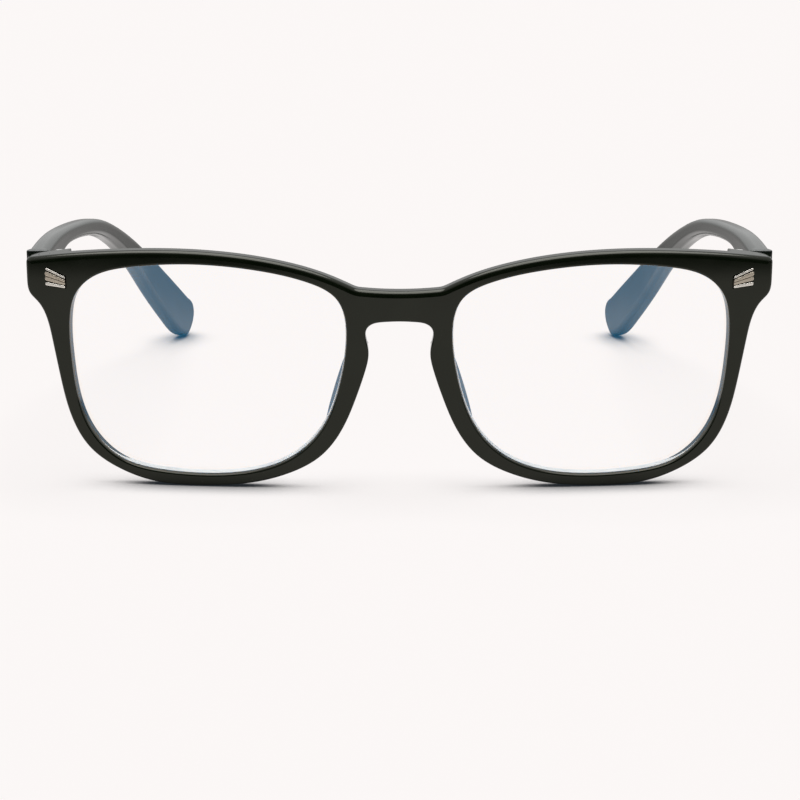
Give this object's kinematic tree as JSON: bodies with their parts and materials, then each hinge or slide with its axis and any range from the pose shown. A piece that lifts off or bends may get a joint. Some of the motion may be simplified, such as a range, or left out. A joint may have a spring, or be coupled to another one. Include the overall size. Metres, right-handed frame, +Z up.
{
  "type": "eyeglasses",
  "caption": "Square full-rim glasses with clear blue-filtering lenses, keyhole-style bridge, wing plaques and folding temples with curved ear ends.",
  "frame": {"origin": "centre of the bounding box, at the level of the surface that the lower rims and the temple tips stand on, temples open", "axes": "+X to the wearer's left, +Y from the front towards the ears, +Z up"},
  "size_m": [0.1416, 0.1456, 0.0466],
  "materials": {
    "frame_plastic": "polished greenish-black moulded plastic",
    "temple_plastic": "polished black plastic with a slight orange peel",
    "pad_plastic": "polished black plastic",
    "lens_clear": "clear lens with a faint blue-violet coating reflection",
    "plaque_metal": "champagne-silver, finely brushed",
    "hinge_steel": "nickel-silver, tumbled",
    "screw_steel": "bright steel",
    "wire_steel": "plain steel"
  },
  "bodies": {
    "front": {"front_frame": "frame_plastic", "lens_left": "lens_clear", "nose_pad_left": "pad_plastic", "wing_plaque_left": "plaque_metal", "front_hinge_left": "hinge_steel", "hinge_screw_left": "screw_steel", "lens_right": "lens_clear", "nose_pad_right": "pad_plastic", "wing_plaque_right": "plaque_metal", "front_hinge_right": "hinge_steel", "hinge_screw_right": "screw_steel"},
    "left_temple": {"temple_left": "temple_plastic", "temple_hinge_left": "hinge_steel", "core_wire_left": "wire_steel"},
    "right_temple": {"temple_right": "temple_plastic", "temple_hinge_right": "hinge_steel", "core_wire_right": "wire_steel"}
  },
  "joints": [
    {"name": "left_temple_fold", "type": "hinge", "parent": "front", "child": "left_temple", "pos_m": [0.0646, -0.06155, 0.0414], "axis": [0, 0, 1], "range_deg": [0, 83]},
    {"name": "right_temple_fold", "type": "hinge", "parent": "front", "child": "right_temple", "pos_m": [-0.0646, -0.06155, 0.0414], "axis": [0, 0, -1], "range_deg": [0, 78]}
  ]
}
